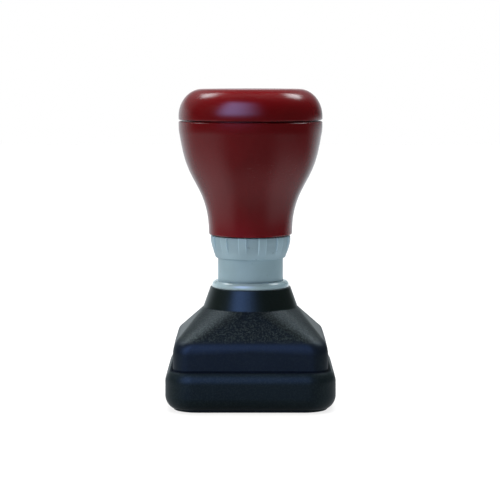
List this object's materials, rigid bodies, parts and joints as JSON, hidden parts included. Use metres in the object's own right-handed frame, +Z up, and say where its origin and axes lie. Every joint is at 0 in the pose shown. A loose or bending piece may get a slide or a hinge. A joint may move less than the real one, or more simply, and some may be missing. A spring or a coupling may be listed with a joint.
{
  "type": "pre-inked stamp",
  "caption": "Square pre-inked hand stamp with a sprung burgundy knob, a grey stroke adjuster ring, a black hipped skirt and a pull-off cover.",
  "frame": {"origin": "middle of the cover's foot, on the table", "axes": "+Z up along the stem and the knob, +X and +Y square to the skirt's sides"},
  "size_m": [0.0408, 0.0408, 0.0764],
  "materials": {
    "cover_black": "satin moulded plastic, near-black navy",
    "housing_black": "satin moulded plastic with a fine grain on the roof",
    "bush_grey": "smooth satin blue-grey plastic",
    "stem_grey": "smooth satin blue-grey plastic",
    "ring_grey": "fine matt blue-grey plastic",
    "handle_red": "polished deep burgundy plastic",
    "mount_grey": "plain moulded plastic",
    "frame_black": "fine matt plastic",
    "plug_black": "plain moulded plastic",
    "turned_alloy": "turned, clear anodised",
    "bright_steel": "zinc plated",
    "spring_steel": "drawn wire, oiled",
    "seal_rubber": "soft dense rubber",
    "die_rubber": "porous foam rubber soaked with ink",
    "pad_felt": "dense felt soaked with ink"
  },
  "bodies": {
    "housing": {"skirt_housing": "housing_black", "guide_bush": "bush_grey", "bush_nut": "bush_grey", "spring_washer": "bright_steel", "return_spring": "spring_steel"},
    "plunger": {"handle_body": "handle_red", "handle_washer": "bright_steel", "handle_nut": "bright_steel", "feed_rod": "turned_alloy", "rod_seal": "seal_rubber", "mount_screws": "bright_steel", "die_mount": "mount_grey", "ink_pad": "pad_felt", "stamp_die": "die_rubber", "die_frame": "frame_black"},
    "stop_sleeve": {"stem_sleeve": "stem_grey"},
    "adjuster": {"adjuster_ring": "ring_grey"},
    "cap": {"handle_cap": "handle_red"},
    "plug": {"filler_plug": "plug_black", "plug_seal": "seal_rubber"},
    "cover": {"dust_cover": "cover_black"}
  },
  "joints": [
    {"name": "press", "type": "slide", "parent": "housing", "child": "plunger", "axis": [0, 0, -1], "range_m": [0, 0.0044], "stiffness_N_per_m": 600, "springref_m": -0.006, "deforming": ["return_spring"]},
    {"name": "ring_turn", "type": "hinge", "parent": "plunger", "child": "adjuster", "pos_m": [0, 0, 0.038], "axis": [0, 0, 1], "range_deg": [-180, 180]},
    {"name": "stop_travel", "type": "slide", "parent": "plunger", "child": "stop_sleeve", "axis": [0, 0, 1], "range_m": [-0.0005, 0.0005]},
    {"name": "cap_lift", "type": "slide", "parent": "plunger", "child": "cap", "axis": [0, 0, 1], "range_m": [0, 0.015]},
    {"name": "plug_lift", "type": "slide", "parent": "plunger", "child": "plug", "axis": [0, 0, 1], "range_m": [0, 0.007]},
    {"name": "cover_off", "type": "slide", "parent": "housing", "child": "cover", "axis": [0, 0, -1], "range_m": [0, 0.012]}
  ],
  "couplings": [
    {"joint": "ring_turn", "follows": "stop_travel", "rad_per_m": 6283.2}
  ]
}
